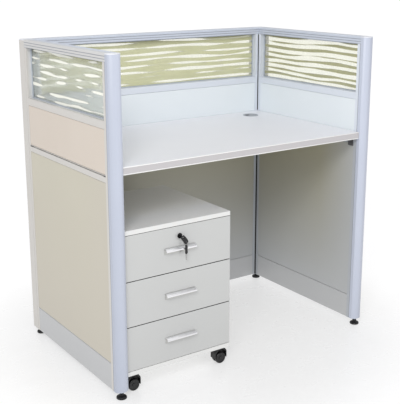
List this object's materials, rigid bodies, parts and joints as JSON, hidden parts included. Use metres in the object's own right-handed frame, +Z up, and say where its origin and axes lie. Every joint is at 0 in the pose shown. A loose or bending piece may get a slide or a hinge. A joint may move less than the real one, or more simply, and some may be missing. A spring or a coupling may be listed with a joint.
{
  "type": "cubicle workstation",
  "caption": "Cubicle workstation: glazed partition panels on three sides of a desk, over a mobile pedestal with locking drawers on casters.",
  "frame": {"origin": "on the floor, under the middle of the station's width and depth", "axes": "+X to the sitter's right, +Y from the open front to the back panel, +Z up"},
  "size_m": [1.065, 0.65, 1.09],
  "materials": {
    "rail_aluminium": "satin silver anodised",
    "post_cap_aluminium": "satin silver anodised",
    "handle_aluminium": "satin silver anodised",
    "patterned_glass": "cast glass with a wavy striped pattern",
    "outer_tile_laminate": "smooth warm beige",
    "inner_tile_laminate": "smooth white",
    "base_cover_enamel": "smooth grey-beige",
    "desktop_laminate": "white melamine on board",
    "pedestal_board": "glossy pale grey lacquer on board",
    "drawer_box_board": "white melamine on board",
    "bracket_steel": "dark grey powder coat",
    "runner_steel": "zinc plated",
    "grommet_plastic": "grey",
    "black_plastic": "black",
    "caster_tyre": "black",
    "lock_black": "black",
    "key_metal": "nickel plated",
    "key_black": "black"
  },
  "bodies": {
    "partition_and_desk": {"left_top_rail": "rail_aluminium", "left_frame": "rail_aluminium", "left_glass": "patterned_glass", "left_outer_tiles": "outer_tile_laminate", "left_inner_tiles": "inner_tile_laminate", "left_base_covers": "base_cover_enamel", "back_top_rail": "rail_aluminium", "back_frame": "rail_aluminium", "back_glass": "patterned_glass", "back_outer_tiles": "outer_tile_laminate", "back_inner_tiles": "inner_tile_laminate", "back_base_covers": "base_cover_enamel", "right_top_rail": "rail_aluminium", "right_frame": "rail_aluminium", "right_glass": "patterned_glass", "right_outer_tiles": "outer_tile_laminate", "right_inner_tiles": "inner_tile_laminate", "right_base_covers": "base_cover_enamel", "left_end_post": "rail_aluminium", "right_end_post": "rail_aluminium", "left_corner_post": "rail_aluminium", "right_corner_post": "rail_aluminium", "post_caps": "post_cap_aluminium", "desktop": "desktop_laminate", "desk_brackets": "bracket_steel", "grommet_ring": "grommet_plastic"},
    "left_front_foot": {"left_front_foot": "black_plastic"},
    "left_rear_foot": {"left_rear_foot": "black_plastic"},
    "right_front_foot": {"right_front_foot": "black_plastic"},
    "right_rear_foot": {"right_rear_foot": "black_plastic"},
    "grommet_cap": {"grommet_cap": "grommet_plastic"},
    "pedestal": {"pedestal_top": "pedestal_board", "pedestal_base": "pedestal_board", "pedestal_back": "pedestal_board", "pedestal_sides": "pedestal_board", "cabinet_runners": "runner_steel"},
    "lower_drawer": {"lower_drawer_front": "pedestal_board", "lower_drawer_box": "drawer_box_board", "lower_drawer_handle": "handle_aluminium", "lower_drawer_runners": "runner_steel"},
    "middle_drawer": {"middle_drawer_front": "pedestal_board", "middle_drawer_box": "drawer_box_board", "middle_drawer_handle": "handle_aluminium", "middle_drawer_runners": "runner_steel"},
    "upper_drawer": {"upper_drawer_front": "pedestal_board", "upper_drawer_box": "drawer_box_board", "upper_drawer_handle": "handle_aluminium", "upper_drawer_runners": "runner_steel", "lock_barrel": "lock_black"},
    "lock_plug": {"lock_plug": "key_metal"},
    "key_bow": {"key_bow": "key_black"},
    "spare_key": {"spare_key": "key_black"},
    "front_left_caster_hood": {"front_left_caster_hood": "black_plastic"},
    "front_left_caster_wheels": {"front_left_caster_wheels": "caster_tyre"},
    "front_right_caster_hood": {"front_right_caster_hood": "black_plastic"},
    "front_right_caster_wheels": {"front_right_caster_wheels": "caster_tyre"},
    "rear_left_caster_hood": {"rear_left_caster_hood": "black_plastic"},
    "rear_left_caster_wheels": {"rear_left_caster_wheels": "caster_tyre"},
    "rear_right_caster_hood": {"rear_right_caster_hood": "black_plastic"},
    "rear_right_caster_wheels": {"rear_right_caster_wheels": "caster_tyre"}
  },
  "joints": [
    {"name": "left_front_foot_thread", "type": "slide", "parent": "partition_and_desk", "child": "left_front_foot", "axis": [0, 0, -1], "range_m": [0, 0.015]},
    {"name": "left_rear_foot_thread", "type": "slide", "parent": "partition_and_desk", "child": "left_rear_foot", "axis": [0, 0, -1], "range_m": [0, 0.015]},
    {"name": "right_front_foot_thread", "type": "slide", "parent": "partition_and_desk", "child": "right_front_foot", "axis": [0, 0, -1], "range_m": [0, 0.015]},
    {"name": "right_rear_foot_thread", "type": "slide", "parent": "partition_and_desk", "child": "right_rear_foot", "axis": [0, 0, -1], "range_m": [0, 0.015]},
    {"name": "grommet_cap_lift", "type": "slide", "parent": "partition_and_desk", "child": "grommet_cap", "axis": [0, 0, 1], "range_m": [0, 0.04]},
    {"name": "pedestal_roll_out", "type": "slide", "parent": "partition_and_desk", "child": "pedestal", "axis": [0, -1, 0], "range_m": [0, 0.45]},
    {"name": "lower_drawer_slide", "type": "slide", "parent": "pedestal", "child": "lower_drawer", "axis": [0, -1, 0], "range_m": [0, 0.26]},
    {"name": "middle_drawer_slide", "type": "slide", "parent": "pedestal", "child": "middle_drawer", "axis": [0, -1, 0], "range_m": [0, 0.26]},
    {"name": "upper_drawer_slide", "type": "slide", "parent": "pedestal", "child": "upper_drawer", "axis": [0, -1, 0], "range_m": [0, 0.26]},
    {"name": "lock_turn", "type": "hinge", "parent": "upper_drawer", "child": "lock_plug", "pos_m": [-0.2805, -0.3, 0.497], "axis": [0, 1, 0], "range_deg": [0, 90]},
    {"name": "key_fold", "type": "hinge", "parent": "lock_plug", "child": "key_bow", "pos_m": [-0.2805, -0.3175, 0.497], "axis": [-0.8192, 0, -0.5736], "range_deg": [0, 90]},
    {"name": "spare_key_swing", "type": "hinge", "parent": "key_bow", "child": "spare_key", "pos_m": [-0.26673, -0.3175, 0.47734], "axis": [0, 1, 0], "range_deg": [-60, 60]},
    {"name": "front_left_caster_swivel", "type": "hinge", "parent": "pedestal", "child": "front_left_caster_hood", "pos_m": [-0.4385, -0.276, 0.06], "axis": [0, 0, 1], "continuous": true},
    {"name": "front_left_caster_roll", "type": "hinge", "parent": "front_left_caster_hood", "child": "front_left_caster_wheels", "pos_m": [-0.4525, -0.276, 0.02], "axis": [0, 1, 0], "continuous": true},
    {"name": "front_right_caster_swivel", "type": "hinge", "parent": "pedestal", "child": "front_right_caster_hood", "pos_m": [-0.1225, -0.276, 0.06], "axis": [0, 0, 1], "continuous": true},
    {"name": "front_right_caster_roll", "type": "hinge", "parent": "front_right_caster_hood", "child": "front_right_caster_wheels", "pos_m": [-0.1085, -0.276, 0.02], "axis": [0, 1, 0], "continuous": true},
    {"name": "rear_left_caster_swivel", "type": "hinge", "parent": "pedestal", "child": "rear_left_caster_hood", "pos_m": [-0.4385, 0.085, 0.06], "axis": [0, 0, 1], "continuous": true},
    {"name": "rear_left_caster_roll", "type": "hinge", "parent": "rear_left_caster_hood", "child": "rear_left_caster_wheels", "pos_m": [-0.4525, 0.085, 0.02], "axis": [0, 1, 0], "continuous": true},
    {"name": "rear_right_caster_swivel", "type": "hinge", "parent": "pedestal", "child": "rear_right_caster_hood", "pos_m": [-0.1225, 0.085, 0.06], "axis": [0, 0, 1], "continuous": true},
    {"name": "rear_right_caster_roll", "type": "hinge", "parent": "rear_right_caster_hood", "child": "rear_right_caster_wheels", "pos_m": [-0.1085, 0.085, 0.02], "axis": [0, 1, 0], "continuous": true}
  ]
}
